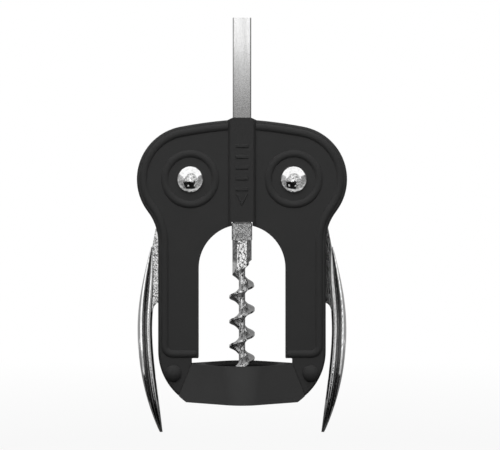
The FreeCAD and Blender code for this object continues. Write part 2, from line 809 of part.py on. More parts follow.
def tooth_edges(centre_deg):
    """Flank, tip and flank of one sector tooth, in the order of falling angle."""
    base_radius = pitch_radius * math.cos(math.radians(pressure_angle))
    roll_pitch = math.tan(math.radians(pressure_angle))
    pitch_turn = roll_pitch - math.radians(pressure_angle)
    half = (pitch - backlash) / 4 / pitch_radius + pitch_turn
    half_deg = math.degrees(half)
    tip_roll = math.degrees(math.sqrt((tip_radius / base_radius) ** 2 - 1))
    upper = [involute_point(tip_roll * part, centre_deg + half_deg, -1) for part in (0, 0.5, 1)]
    lower = [involute_point(tip_roll * part, centre_deg - half_deg, 1) for part in (1, 0.5, 0)]
    tip = polar(pivot_x, pivot_height, tip_radius, centre_deg)
    upper_root = polar(pivot_x, pivot_height, root_radius, centre_deg + half_deg)
    lower_root = polar(pivot_x, pivot_height, root_radius, centre_deg - half_deg)
    return upper_root, lower_root, [
        line(upper_root, upper[0]),
        arc_through(*upper),
        arc_through(upper[2], tip, lower[0]),
        arc_through(*lower),
        line(lower[2], lower_root),
    ]


def sector():
    """A toothed disc: teeth over the top, where they meet the bar during the swing."""
    tooth_deg = 360 / gear_teeth
    first = 180 + tooth_deg
    edges = []
    previous = None
    for number in range(-1, last_tooth + 1):
        centre = 180 - number * tooth_deg
        upper_root, lower_root, tooth = tooth_edges(centre)
        if previous is not None:
            valley = polar(pivot_x, pivot_height, root_radius, centre + tooth_deg / 2)
            edges.append(arc_through(previous, valley, upper_root))
        edges += tooth
        previous = lower_root
        last = centre
    start_deg = first + tooth_deg / 2
    end_deg = last - tooth_deg / 2
    start = edges[0].Vertexes[0].Point
    hub_start = polar(pivot_x, pivot_height, hub_radius, start_deg)
    hub_end = polar(pivot_x, pivot_height, hub_radius, end_deg)
    edges.append(line(hub_start, start))
    edges.append(line(previous, hub_end))
    edges.append(arc(pivot_x, pivot_height, hub_radius, end_deg, start_deg - 360))
    return slab(face_of(edges), -sector_thickness / 2, sector_thickness / 2)


def grip_outer(z):
    """The grip's outer edge: an arc that is fullest at grip_full and runs on straight above."""
    rise = min(z - grip_full, grip_straight_rise)
    reach = math.sqrt(grip_outer_radius ** 2 - rise ** 2)
    return grip_outer_x - grip_outer_radius + reach - (z - grip_full - rise) * rise / reach


def grip_bend():
    """Where the inner edge's arc ends below, and how much it leans there."""
    centre_x = grip_inner_x - grip_inner_radius
    bend_deg = math.degrees(math.asin(-grip_bend_drop / grip_inner_radius))
    return polar(centre_x, grip_full, grip_inner_radius, bend_deg), math.tan(math.radians(-bend_deg))


def grip_inner(z):
    """The spine's inner edge: beside the web a straight ridge, an arc below it, then straight."""
    bend, lean = grip_bend()
    if z > web_end:
        share = (z - web_end) / (grip_top - web_end)
        low_x = leg_half_width + ridge_low_gap
        return low_x + share * (grip_outer(grip_top) - ridge_top_depth - low_x)
    if z < bend.z:
        return bend.x - (bend.z - z) * lean
    return grip_inner_x - grip_inner_radius + math.sqrt(grip_inner_radius ** 2 - (z - grip_full) ** 2)


def grip_section(z):
    """A crowned outer face, a thin rim, and two hollows that end at a thick spine."""
    share = (z - grip_tip) / (grip_top - grip_tip)
    swell = math.sin(math.pi * min(max(share, 0), 1)) ** grip_swell
    end_half = (grip_tip_size + (grip_top_size - grip_tip_size) * share) / 2
    half = end_half + (grip_width / 2 - end_half) * swell
    spine_end = end_half * spine_end_share
    spine_half = spine_end + (spine_thickness / 2 - spine_end) * swell
    outer = grip_outer(z)
    edge_x = outer - grip_crown_radius + math.sqrt(grip_crown_radius ** 2 - half ** 2)
    rim = grip_tip_edge + (grip_edge - grip_tip_edge) * swell
    rim_x = edge_x - rim
    inner_x = grip_inner(z)
    spine_x = rim_x - (rim_x - inner_x) * hollow_share
    crest_x = inner_x + (spine_x - inner_x) * spine_crest
    right = [
        Vector(edge_x, half, z),
        Vector(rim_x, half, z),
        Vector(rim_x, spine_half + (half - spine_half) * hollow_middle, z),
        Vector(spine_x, spine_half, z),
        Vector(crest_x, spine_half * spine_crown, z),
        Vector(inner_x, spine_half * spine_edge, z),
    ]
    left = [Vector(point.x, -point.y, z) for point in right]
    edges = [arc_through(left[0], Vector(outer, 0, z), right[0]), line(right[0], right[1])]
    edges += [arc_through(*right[n:n + 3]) for n in (1, 3)]
    edges.append(line(right[5], left[5]))
    edges += [arc_through(*reversed(left[n:n + 3])) for n in (3, 1)]
    edges.append(line(left[1], left[0]))
    return Part.Wire(edges)


def leaf():
    """The finger grip, lofted through level sections that lie closer together at its ends."""
    section_count = 9
    turns = [math.pi * n / (section_count - 1) for n in range(section_count)]
    half_length = (grip_top - grip_tip) / 2
    sections = [grip_section(grip_tip + half_length * (1 - math.cos(turn))) for turn in turns]
    return Part.makeLoft(sections, True, False)


def below_web():
    """The space below the web, with a rounded corner against the grip's inner edge."""
    low = web_end - 2 * web_fillet
    turn_z = web_end - web_fillet
    edge_x = grip_inner(turn_z)
    face = face_of([
        line(front_point(pivot_x, low), front_point(edge_x, low)),
        line(front_point(edge_x, low), front_point(edge_x, turn_z)),
        arc(edge_x - web_fillet, turn_z, web_fillet, 0, 90),
        line(front_point(edge_x - web_fillet, web_end), front_point(pivot_x, web_end)),
        line(front_point(pivot_x, web_end), front_point(pivot_x, low)),
    ])
    return slab(face, -lever_thickness, lever_thickness)


def arm():
    """The flat web from the hub to the grip."""
    outer_hub = polar(pivot_x, pivot_height, hub_radius, arm_outer_angle)
    inner_hub = polar(pivot_x, pivot_height, hub_radius, arm_inner_angle)
    join_z = grip_top - web_join_drop
    low_z = web_end - web_fillet
    face = polygon_face([
        front_point(pivot_x, pivot_height),
        outer_hub,
        front_point(grip_outer(join_z) - grip_edge, join_z),
        front_point(grip_outer(low_z) - grip_thickness / 2, low_z),
        front_point(leg_half_width, low_z),
        front_point(leg_half_width - wall, web_end),
        inner_hub,
    ])
    return slab(face, -lever_thickness / 2, lever_thickness / 2).cut(below_web())


def lever():
    """Hub, toothed sector, web and leaf-shaped grip in one casting."""
    boss = rod(boss_radius, pivot_x, pivot_height, -lever_thickness / 2, lever_thickness / 2)
    body = sector().fuse([boss, arm(), leaf()])
    bore = rod(pivot_pin_radius + shaft_clearance, pivot_x, pivot_height, -lever_thickness, lever_thickness)
    return body.cut(bore).removeSplitter()


def all_parts():
    plate = front_plate()
    pin, cap, washer, rivet, wing = pivot_pin(), pivot_cap(), thrust_washer(), leg_rivet(), lever()
    rear_washer = mirrored_rear(washer)
    return {
        "front_plate": plate,
        "rear_plate": mirrored_rear(plate),
        "neck_collar": neck_collar(),
        "right_pivot_pin": pin,
        "left_pivot_pin": mirrored_left(pin),
        "right_pivot_cap": cap,
        "left_pivot_cap": mirrored_left(cap),
        "right_front_washer": washer,
        "left_front_washer": mirrored_left(washer),
        "right_rear_washer": rear_washer,
        "left_rear_washer": mirrored_left(rear_washer),
        "right_leg_rivet": rivet,
        "left_leg_rivet": mirrored_left(rivet),
        "rack_bar": rack_bar(),
        "end_block": end_block(),
        "bar_pin": cross_pin(tang_pin_height()),
        "worm_pin": cross_pin(spigot_pin_height()),
        "worm": worm(),
        "right_lever": wing,
        "left_lever": mirrored_left(wing),
    }


os.makedirs("parts", exist_ok=True)
for name, shape in all_parts().items():
    shape.exportStep("parts/" + name + ".step")
    print(name, "solids", len(shape.Solids), "valid", shape.isValid(), "volume", round(shape.Volume, 1))
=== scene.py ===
import math

import bmesh
import bpy
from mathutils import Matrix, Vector


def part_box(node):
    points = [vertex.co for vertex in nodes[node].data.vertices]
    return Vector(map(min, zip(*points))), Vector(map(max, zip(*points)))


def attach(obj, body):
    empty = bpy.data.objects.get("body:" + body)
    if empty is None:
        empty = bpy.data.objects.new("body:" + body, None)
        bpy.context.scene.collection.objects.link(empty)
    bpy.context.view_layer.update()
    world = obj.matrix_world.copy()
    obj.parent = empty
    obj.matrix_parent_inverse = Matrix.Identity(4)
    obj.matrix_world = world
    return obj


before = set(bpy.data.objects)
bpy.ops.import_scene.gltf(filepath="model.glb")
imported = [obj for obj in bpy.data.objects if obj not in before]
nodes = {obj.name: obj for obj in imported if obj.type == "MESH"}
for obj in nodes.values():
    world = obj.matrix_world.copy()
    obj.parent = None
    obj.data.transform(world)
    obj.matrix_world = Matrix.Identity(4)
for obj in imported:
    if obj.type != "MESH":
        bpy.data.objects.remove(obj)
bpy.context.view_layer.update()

mm = 0.001

print("corkscrew: frame loaded,", len(nodes), "metal and moulded parts")


# in the dictionaries below, a Noise is a texture's scale, detail and roughness; a Span is where on it a
# change starts and ends, an Edge is where on a length or a face's direction it does, and Shares is what
# it goes from and to
noiseSpan = (0.3, 0.7)      # nearly all values of a noise texture lie in here


def newMaterial(name):
    material = bpy.data.materials.new(name)
    material.use_nodes = True
    tree = material.node_tree
    shader = tree.nodes["Principled BSDF"]
    return material, tree, shader


def addNode(tree, kind, inputs=None, **settings):
    node = tree.nodes.new(kind)
    for key, value in settings.items():
        setattr(node, key, value)
    for key, value in (inputs or {}).items():
        if isinstance(value, bpy.types.NodeSocket):
            tree.links.new(value, node.inputs[key])
        else:
            node.inputs[key].default_value = value
    return node


def objectPoint(tree, stretch=(1, 1, 1)):
    # position on the part in metres, squeezed along an axis for drawn or brushed metal
    where = addNode(tree, "ShaderNodeTexCoord")
    values = {"Vector": where.outputs["Object"], "Scale": stretch}
    return addNode(tree, "ShaderNodeMapping", values).outputs["Vector"]


def objectNormal(tree):
    return addNode(tree, "ShaderNodeTexCoord").outputs["Normal"]


def axes(tree, vector):
    # the X, Y and Z of a vector
    node = addNode(tree, "ShaderNodeSeparateXYZ", {"Vector": vector})
    return node.outputs["X"], node.outputs["Y"], node.outputs["Z"]


def noise(tree, point, scale, detail, roughness):
    values = {"Vector": point, "Scale": scale, "Detail": detail, "Roughness": roughness}
    return addNode(tree, "ShaderNodeTexNoise", values).outputs["Fac"]


def remap(tree, value, low, high, fromLow=0.0, fromHigh=1.0):
    values = {"Value": value, "From Min": fromLow, "From Max": fromHigh, "To Min": low, "To Max": high}
    return addNode(tree, "ShaderNodeMapRange", values).outputs["Result"]


def rise(tree, value, start, end):
    # a share that is 0 up to the start and 1 from the end on
    return remap(tree, value, 0.0, 1.0, start, end)


def maths(tree, operation, first, second=0.0):
    return addNode(tree, "ShaderNodeMath", {0: first, 1: second}, operation=operation).outputs[0]


def times(tree, first, second):
    return maths(tree, "MULTIPLY", first, second)


def rest(tree, share):
    # what is left of 1
    return maths(tree, "SUBTRACT", 1.0, share)


def blendColours(tree, share, first, second):
    # a mix node keeps its colours in sockets 6 and 7, and the mixed colour in output 2
    return addNode(tree, "ShaderNodeMix", {0: share, 6: first, 7: second}, data_type="RGBA").outputs[2]


def grey(value, warmth=0.0):
    return (value * (1 + warmth), value, value * (1 - warmth), 1.0)


def twoTones(tree, share, tones):
    # from the first tone to the second
    return blendColours(tree, share, grey(tones[0]), grey(tones[1]))


def aroundTone(tree, share, tone, spread):
    # from darker to lighter than the tone by the same part of it
    return twoTones(tree, share, (tone * (1 - spread), tone * (1 + spread)))


def bump(tree, height, distance, below=None):
    values = {"Height": height, "Distance": distance, "Strength": 1.0}
    if below is not None:
        values["Normal"] = below
    return addNode(tree, "ShaderNodeBump", values).outputs["Normal"]


# black coating of the two pressed plates and of the leg rivets
coating = {
    "colour": 0.0345,
    "spread": 0.10,
    "roughness": (0.48, 0.60),
    "gloss": 0.06,
    "grainNoise": (2600.0, 4.0, 0.6),       # fine orange peel of the coating
    "grainShares": (-0.2, 0.2),
    "grainDepth": 0.016 * mm,
    "cloudNoise": (90.0, 2.0, 0.5),         # slow change of tone over a plate
    "cloudShares": (0.2, 0.8),
    "channelNoise": (1300.0, 3.0, 0.6),     # coarser skin where the channel was drawn
    "channelDepth": 0.08 * mm,
    "channelEdge": (4.42 * mm, 5.46 * mm),  # distance from the middle over which that skin fades
}


def blackCoating():
    material, tree, shader = newMaterial("blackCoating")
    point = objectPoint(tree)
    grain = noise(tree, point, *coating["grainNoise"])
    cloud = noise(tree, point, *coating["cloudNoise"])
    mottle = maths(tree, "ADD", remap(tree, grain, *coating["grainShares"], *noiseSpan),
                   remap(tree, cloud, *coating["cloudShares"]))
    tone = aroundTone(tree, mottle, coating["colour"], coating["spread"])
    tree.links.new(tone, shader.inputs["Base Color"])
    rough = remap(tree, grain, *coating["roughness"], *noiseSpan)
    tree.links.new(rough, shader.inputs["Roughness"])
    fromMiddle = maths(tree, "ABSOLUTE", axes(tree, point)[0])
    inChannel = remap(tree, fromMiddle, 1.0, 0.0, *coating["channelEdge"])
    skin = times(tree, noise(tree, point, *coating["channelNoise"]), inChannel)
    drawn = bump(tree, skin, coating["channelDepth"])
    tree.links.new(bump(tree, grain, coating["grainDepth"], drawn), shader.inputs["Normal"])
    shader.inputs["Specular IOR Level"].default_value = coating["gloss"]
    return material


# moulded collar
moulding = {
    "colour": 0.0475,
    "spread": 0.05,
    "roughness": (0.50, 0.60),
    "gloss": 0.03,
    "grainNoise": (5200.0, 2.0, 0.5),   # spark-eroded grain of the mould
    "grainDepth": 0.006 * mm,
    "flowNoise": (45.0, 2.0, 0.5),      # slow change of tone where the plastic flowed
    "inside": 0.36,                     # painted shade: share of the tone left in the bore and on faces that look up
    "boreEdge": (-2 * mm, 0.0),         # how far a face looks away from the axis
    "upwardEdge": (0.6, 0.9),           # how far it looks up
}


def mouldedBlack():
    material, tree, shader = newMaterial("mouldedBlack")
    point = objectPoint(tree)
    grain = noise(tree, point, *moulding["grainNoise"])
    flow = noise(tree, point, *moulding["flowNoise"])
    tone = aroundTone(tree, rise(tree, flow, *noiseSpan), moulding["colour"], moulding["spread"])
    facing = objectNormal(tree)
    values = {0: objectPoint(tree, (1.0, 1.0, 0.0)), 1: facing}
    outward = addNode(tree, "ShaderNodeVectorMath", values, operation="DOT_PRODUCT").outputs["Value"]
    # painted shade: the inside of the bore and the faces that look up are darkened towards black
    boreShade = remap(tree, outward, 1.0, 0.0, *moulding["boreEdge"])
    upward = rise(tree, axes(tree, facing)[2], *moulding["upwardEdge"])
    dull = times(tree, maths(tree, "MAXIMUM", boreShade, upward), 1.0 - moulding["inside"])
    tree.links.new(blendColours(tree, dull, tone, grey(0.0)), shader.inputs["Base Color"])
    tree.links.new(remap(tree, flow, *moulding["roughness"], *noiseSpan), shader.inputs["Roughness"])
    tree.links.new(bump(tree, grain, moulding["grainDepth"]), shader.inputs["Normal"])
    shader.inputs["Specular IOR Level"].default_value = moulding["gloss"]
    return material


# chrome of the levers
leverPlating = {
    "polished": (0.62, 0.50),               # clear and clouded
    "roughness": (0.05, 0.13),
    "stretch": (1.0, 1.0, 0.35),
    "rippleNoise": (160.0, 3.0, 0.55),      # uneven polish of the casting
    "rippleSpan": (0.35, 0.7),
    "rippleDepth": 0.006 * mm,
    "pitNoise": (3400.0, 2.0, 0.5),         # pin holes in the plating
    "pitSpan": (0.4, 0.75),
    "pitDepth": 0.004 * mm,
    "edgeRounding": 0.12 * mm,
    "edgeSamples": 6,
    "hollow": 0.022,                        # painted shade: the hollows behind the rim, darkened towards black
    "hollowShares": (1.0, 0.95),
    "hollowSpan": (0.55, 0.75),
    "hollowEdge": (0.40, 0.75),             # how far a face looks at the frame
    "rimHighlight": 0.96,                           # painted highlight: the rim's edge and the spine, made brighter
    "rimEdge": (0.80, 0.92),                # how squarely a face looks to the front or rear
    "spineEdge": (-0.30, -0.10),
    "spineHalf": 2.33 * mm,                 # of the spine at its thickest, and the height of that place
    "spineMiddle": 16.5 * mm,
    "spineTaper": 0.9,                      # loss of that half width with the square of the height, per metre
    "spineFade": 0.12 * mm,
    "webEdge": (0.985, 0.998),
    "webHalf": 1.85 * mm,
    "webPatches": (0.07, 0.837),                  # painted reflection: dark and light patches on the flat faces of the web
    "webPatchNoise": (2600.0, 3.0, 0.6),
    "webPatchSpan": (0.44, 0.54),
    "webPatchDepth": 0.012 * mm,
    "thin": 0.01,                           # painted shade: darker towards the tip
    "thinShare": 0.78,
    "thinEdge": (-3 * mm, -12 * mm),
}


def leverFaces(tree, point):
    # shares of a lever's surface: the hollows that face the frame, the flat sides of the web,
    # the rim's edge and the spine; and the height
    across, depth, height = axes(tree, point)
    sideways, square, _ = axes(tree, objectNormal(tree))
    inward = times(tree, times(tree, sideways, maths(tree, "SIGN", across)), -1.0)
    square = maths(tree, "ABSOLUTE", square)
    depth = maths(tree, "ABSOLUTE", depth)
    fromMiddle = maths(tree, "SUBTRACT", height, leverPlating["spineMiddle"])
    loss = times(tree, times(tree, fromMiddle, fromMiddle), leverPlating["spineTaper"])
    spineHalf = leverPlating["spineHalf"]
    offSpine = rise(tree, maths(tree, "ADD", depth, loss), spineHalf, spineHalf + leverPlating["spineFade"])
    offWeb = maths(tree, "GREATER_THAN", depth, leverPlating["webHalf"])
    hollow = times(tree, rise(tree, inward, *leverPlating["hollowEdge"]), offSpine)
    web = times(tree, rise(tree, square, *leverPlating["webEdge"]), rest(tree, offWeb))
    rim = times(tree, times(tree, rise(tree, square, *leverPlating["rimEdge"]), offSpine), offWeb)
    spine = times(tree, rise(tree, inward, *leverPlating["spineEdge"]), rest(tree, offSpine))
    return hollow, web, rim, spine, height


def leverChrome():
    material, tree, shader = newMaterial("leverChrome")
    point = objectPoint(tree)
    ripple = noise(tree, objectPoint(tree, leverPlating["stretch"]), *leverPlating["rippleNoise"])
    pits = noise(tree, point, *leverPlating["pitNoise"])
    webPatches = noise(tree, point, *leverPlating["webPatchNoise"])
    hollow, web, rim, spine, height = leverFaces(tree, point)
    tone = twoTones(tree, rise(tree, ripple, *leverPlating["rippleSpan"]), leverPlating["polished"])
    # painted highlight: the rim's edge and the spine are blended towards a bright tone
    tone = blendColours(tree, maths(tree, "MAXIMUM", rim, spine), tone, grey(leverPlating["rimHighlight"]))
    # painted reflection: black and light patches on the flat faces of the web
    skin = twoTones(tree, rise(tree, webPatches, *leverPlating["webPatchSpan"]), leverPlating["webPatches"])
    tone = blendColours(tree, web, tone, skin)
    # painted shade: the hollows are blended towards black, slightly unevenly
    spotted = remap(tree, webPatches, *leverPlating["hollowShares"], *leverPlating["hollowSpan"])
    tone = blendColours(tree, times(tree, hollow, spotted), tone, grey(leverPlating["hollow"]))
    # painted shade: darker towards the tip
    thin = remap(tree, height, 0.0, leverPlating["thinShare"], *leverPlating["thinEdge"])
    tone = blendColours(tree, thin, tone, grey(leverPlating["thin"]))
    tree.links.new(tone, shader.inputs["Base Color"])
    shader.inputs["Metallic"].default_value = 1.0
    rough = remap(tree, pits, *leverPlating["roughness"], *leverPlating["pitSpan"])
    tree.links.new(rough, shader.inputs["Roughness"])
    values = {"Radius": leverPlating["edgeRounding"]}
    rounded = addNode(tree, "ShaderNodeBevel", values, samples=leverPlating["edgeSamples"])
    waves = bump(tree, ripple, leverPlating["rippleDepth"], rounded.outputs["Normal"])
    skinned = bump(tree, times(tree, webPatches, web), leverPlating["webPatchDepth"], waves)
    tree.links.new(bump(tree, pits, leverPlating["pitDepth"], skinned), shader.inputs["Normal"])
    return material


# chrome of the pivot pins and their caps
domePlating = {
    "polished": (0.98, 0.80),       # clear and clouded
    "roughness": (0.03, 0.10),
    "dentNoise": (900.0, 3.0, 0.5),
    "dentSpan": (0.45, 0.75),
    "dentDepth": 0.025 * mm,
}


def domeChrome():
    material, tree, shader = newMaterial("domeChrome")
    dents = noise(tree, objectPoint(tree), *domePlating["dentNoise"])
    tone = twoTones(tree, rise(tree, dents, *domePlating["dentSpan"]), domePlating["polished"])
    tree.links.new(tone, shader.inputs["Base Color"])
    shader.inputs["Metallic"].default_value = 1.0
    tree.links.new(remap(tree, dents, *domePlating["roughness"], *noiseSpan), shader.inputs["Roughness"])
    tree.links.new(bump(tree, dents, domePlating["dentDepth"]), shader.inputs["Normal"])
    return material


# plated steel of the square bar
barPlating = {
    "dull": 0.31,
    "dullWarmth": 0.01,
    "bright": 0.54,
    "brightWarmth": 0.005,
    "roughness": (0.20, 0.36),
    "speckNoise": (2400.0, 4.0, 0.7),   # crystals of the zinc plating
    "speckShares": (0.0, 0.8),
    "speckSpan": (0.35, 0.65),
    "speckDepth": 0.012 * mm,
    "drawNoise": (700.0, 3.0, 0.5),     # drawing lines along the bar
    "drawStretch": (1.0, 1.0, 0.05),
    "drawShares": (0.0, 0.2),
    "drawDepth": 0.006 * mm,
    "litHeadEnd": 0.90,                    # painted light: the head end of the bar, made brighter and smoother
    "litHeadEndHeight": (108 * mm, 136 * mm),
    "litHeadEndShares": (0.75, 1.0),
    "litHeadEndSpan": (0.3, 0.6),
    "headEndRoughness": 0.6,
}


def platedBar():
    material, tree, shader = newMaterial("platedBar")
    point = objectPoint(tree)
    lines = noise(tree, objectPoint(tree, barPlating["drawStretch"]), *barPlating["drawNoise"])
    specks = noise(tree, point, *barPlating["speckNoise"])
    share = maths(tree, "ADD", remap(tree, specks, *barPlating["speckShares"], *barPlating["speckSpan"]),
                  remap(tree, lines, *barPlating["drawShares"], *noiseSpan))
    plated = blendColours(tree, share, grey(barPlating["dull"], barPlating["dullWarmth"]),
                          grey(barPlating["bright"], barPlating["brightWarmth"]))
    # painted light: the upper end of the bar is blended towards a bright tone along its drawing lines; the
    # same mask lowers the roughness there
    litHeadEnd = rise(tree, axes(tree, point)[2], *barPlating["litHeadEndHeight"])
    uneven = remap(tree, lines, *barPlating["litHeadEndShares"], *barPlating["litHeadEndSpan"])
    tone = blendColours(tree, times(tree, litHeadEnd, uneven), plated, grey(barPlating["litHeadEnd"]))
    tree.links.new(tone, shader.inputs["Base Color"])
    shader.inputs["Metallic"].default_value = 1.0
    rough = remap(tree, specks, *barPlating["roughness"], *reversed(noiseSpan))
    smoothed = remap(tree, litHeadEnd, 1.0, barPlating["headEndRoughness"])
    tree.links.new(times(tree, rough, smoothed), shader.inputs["Roughness"])
    drawn = bump(tree, lines, barPlating["drawDepth"])
    tree.links.new(bump(tree, specks, barPlating["speckDepth"], drawn), shader.inputs["Normal"])
    return material


# end block
blockPlating = {
    "tones": (0.08, 0.72),
    "roughness": (0.22, 0.38),
    "speckNoise": (2400.0, 4.0, 0.7),   # blasted skin under the plating
    "speckSpan": (0.40, 0.60),
    "speckDepth": 0.03 * mm,
}


def platedBlock():
    material, tree, shader = newMaterial("platedBlock")
    specks = noise(tree, objectPoint(tree), *blockPlating["speckNoise"])
    tone = twoTones(tree, rise(tree, specks, *blockPlating["speckSpan"]), blockPlating["tones"])
    tree.links.new(tone, shader.inputs["Base Color"])
    shader.inputs["Metallic"].default_value = 1.0
    rough = remap(tree, specks, *blockPlating["roughness"], *reversed(noiseSpan))
    tree.links.new(rough, shader.inputs["Roughness"])
    tree.links.new(bump(tree, specks, blockPlating["speckDepth"]), shader.inputs["Normal"])
    return material


# worm and its hexagonal shank
wormPlating = {
    "core": (0.03, 1.0),                    # the cutter's marks on the core, with painted glints where it looks to the front or rear
    "coreSpan": (0.44, 0.49),
    "coreEdge": (0.45, 0.80),               # how squarely a face looks to the front or rear
    "sides": (0.95, 0.52),                  # painted light: flanks and crests, lighter where they look left than where they look right
    "sidesEdge": (-0.3, 0.3),
    "flank": 0.06,                          # painted shade: faces that look up
    "flankEdge": (0.15, 0.5),
    "flankShares": (1.0, 0.80),
    "shank": (0.02, 0.98),                  # painted highlight: flats of the hexagon that look to the front or rear, speckled dark and bright
    "shankSpan": (0.41, 0.50),
    "shankHeight": (47 * mm, 48 * mm),
    "shankSide": 0.05,                      # painted shade: flats that look sideways
    "shankSideEdge": (0.8, 0.97),
    "shankSideShares": (0.45, 1.0),
    "roughness": (0.06, 0.24),
    "roughnessSpan": (0.65, 0.35),
    "stretch": (1.0, 1.0, 0.6),
    "chatterNoise": (1900.0, 4.0, 0.65),    # marks of the cutter and of the plating over them
    "chatterDepth": 0.07 * mm,
}


def platedWorm():
    material, tree, shader = newMaterial("platedWorm")
    chatter = noise(tree, objectPoint(tree, wormPlating["stretch"]), *wormPlating["chatterNoise"])
    sideways, square, upward = axes(tree, objectNormal(tree))
    square = maths(tree, "ABSOLUTE", square)
    height = axes(tree, objectPoint(tree))[2]
    # the tone follows which way a face looks: painted glints on the core, painted light on faces that look
    # left, painted shade on faces that look up
    core = twoTones(tree, rise(tree, chatter, *wormPlating["coreSpan"]), wormPlating["core"])
    sides = twoTones(tree, rise(tree, sideways, *wormPlating["sidesEdge"]), wormPlating["sides"])
    turned = blendColours(tree, rise(tree, square, *wormPlating["coreEdge"]), sides, core)
    # painted shade: faces that look up keep less of the turned tone
    polished = remap(tree, upward, *wormPlating["flankShares"], *wormPlating["flankEdge"])
    turned = blendColours(tree, polished, grey(wormPlating["flank"]), turned)
    # painted highlight and shade on the hexagon: bright speckled flats to the front and rear, darker flats
    # sideways
    drawn = twoTones(tree, rise(tree, chatter, *wormPlating["shankSpan"]), wormPlating["shank"])
    flat = remap(tree, square, *wormPlating["shankSideShares"], *wormPlating["shankSideEdge"])
    drawn = blendColours(tree, flat, grey(wormPlating["shankSide"]), drawn)
    onShank = rise(tree, height, *wormPlating["shankHeight"])
    tree.links.new(blendColours(tree, onShank, turned, drawn), shader.inputs["Base Color"])
    shader.inputs["Metallic"].default_value = 1.0
    rough = remap(tree, chatter, *wormPlating["roughness"], *wormPlating["roughnessSpan"])
    tree.links.new(rough, shader.inputs["Roughness"])
    tree.links.new(bump(tree, chatter, wormPlating["chatterDepth"]), shader.inputs["Normal"])
    return material


# washers and cross pins
turnedSteel = {
    "colour": 0.42,
    "spread": 0.2,
    "roughness": (0.28, 0.40),
    "ringNoise": (1500.0, 3.0, 0.5),
    "ringDepth": 0.006 * mm,
}


def turnedPins():
    material, tree, shader = newMaterial("turnedPins")
    rings = noise(tree, objectPoint(tree), *turnedSteel["ringNoise"])
    tone = aroundTone(tree, rings, turnedSteel["colour"], turnedSteel["spread"])
    tree.links.new(tone, shader.inputs["Base Color"])
    shader.inputs["Metallic"].default_value = 1.0
    tree.links.new(remap(tree, rings, *turnedSteel["roughness"], *noiseSpan), shader.inputs["Roughness"])
    tree.links.new(bump(tree, rings, turnedSteel["ringDepth"]), shader.inputs["Normal"])
    return material


def dress(nodeName, material):
    mesh = nodes[nodeName].data
    for number in range(len(mesh.materials)):
        mesh.materials[number] = material


coated = blackCoating()
moulded = mouldedBlack()
chromed = leverChrome()
domed = domeChrome()
barSteel = platedBar()
blockSteel = platedBlock()
wormSteel = platedWorm()
pinSteel = turnedPins()

finishes = {
    "front_plate": coated, "rear_plate": coated, "left_leg_rivet": coated, "right_leg_rivet": coated,
    "neck_collar": moulded,
    "left_lever": chromed, "right_lever": chromed,
    "left_pivot_pin": domed, "right_pivot_pin": domed, "left_pivot_cap": domed, "right_pivot_cap": domed,
    "rack_bar": barSteel, "end_block": blockSteel,
    "worm": wormSteel,
    "bar_pin": pinSteel, "worm_pin": pinSteel,
    "left_front_washer": pinSteel, "right_front_washer": pinSteel,
    "left_rear_washer": pinSteel, "right_rear_washer": pinSteel,
}
for nodeName, finish in finishes.items():
    dress(nodeName, finish)
print("corkscrew: finishes on", len(finishes), "parts")


# raised marks on the channel: plain ticks and an arrowhead
channelMarks = {
    "rise": 0.30 * mm,
    "sink": 0.10 * mm,          # foot of a mark inside the sheet
    "slope": 0.16 * mm,         # flank of a mark
    "crestShare": 1 / 3,        # of the flank's width, taken off the edge of the crest
    "crestSegments": 2,
    "sharpAngle": 50.0,
    "cornerLimit": 0.3,         # keeps a sharp corner from being drawn in without end
    "tickTop": 93.6 * mm,
    "tickStep": 4.3 * mm,
    "tickCount": 5,
    "tickHalfWidth": 2.5 * mm,
    "tickHalfHeight": 0.65 * mm,
    "arrowTop": 74.4 * mm,
    "arrowBottom": 69.8 * mm,
    "arrowHalfWidth": 2.4 * mm,
    "arrowStroke": 0.72 * mm,
}


def insetOutline(outline, inset):
    # every corner moves inwards by the same distance from both of its edges
    count = len(outline)
    result = []
    for n in range(count):
        before, here, after = (Vector(outline[(n + k) % count]) for k in (-1, 0, 1))
        first = (here - before).normalized()
        second = (after - here).normalized()
        firstNormal = Vector((-first.y, first.x))
        normal = (firstNormal + Vector((-second.y, second.x))).normalized()
        reach = inset / max(channelMarks["cornerLimit"], normal.dot(firstNormal))
        result.append(tuple(here + normal * reach))
    return result


def raisedOutline(name, outline, faceY, hand):
    # a low boss with sloping flanks on the channel's face; hand is -1 on the front and 1 on the rear
    mesh = bpy.data.meshes.new(name)
    work = bmesh.new()
    inner = insetOutline(outline, channelMarks["slope"])
    levels = ((outline, -channelMarks["sink"]), (outline, 0.0), (inner, channelMarks["rise"]))
    rows = [[work.verts.new((p[0], faceY + hand * depth, p[1])) for p in points] for points, depth in levels]
    count = len(outline)
    for low, high in zip(rows, rows[1:]):
        for n in range(count):
            work.faces.new((low[n], low[(n + 1) % count], high[(n + 1) % count], high[n]))
    work.faces.new(rows[-1])
    work.faces.new(list(reversed(rows[0])))
    bmesh.ops.recalc_face_normals(work, faces=work.faces)
    crest = [e for e in work.edges if all(v in rows[-1] for v in e.verts)]
    bmesh.ops.bevel(work, geom=crest, offset=channelMarks["slope"] * channelMarks["crestShare"],
                    segments=channelMarks["crestSegments"], affect="EDGES")
    work.to_mesh(mesh)
    work.free()
    mark = bpy.data.objects.new(name, mesh)
    bpy.context.scene.collection.objects.link(mark)
    mesh.materials.append(coated)
    for face in mesh.polygons:
        face.use_smooth = True
    mesh.set_sharp_from_angle(angle=math.radians(channelMarks["sharpAngle"]))
    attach(mark, "frame")


def tickOutline(height):
    half, tall = channelMarks["tickHalfWidth"], channelMarks["tickHalfHeight"]
    return [(-half, height - tall), (half, height - tall), (half, height + tall), (-half, height + tall)]


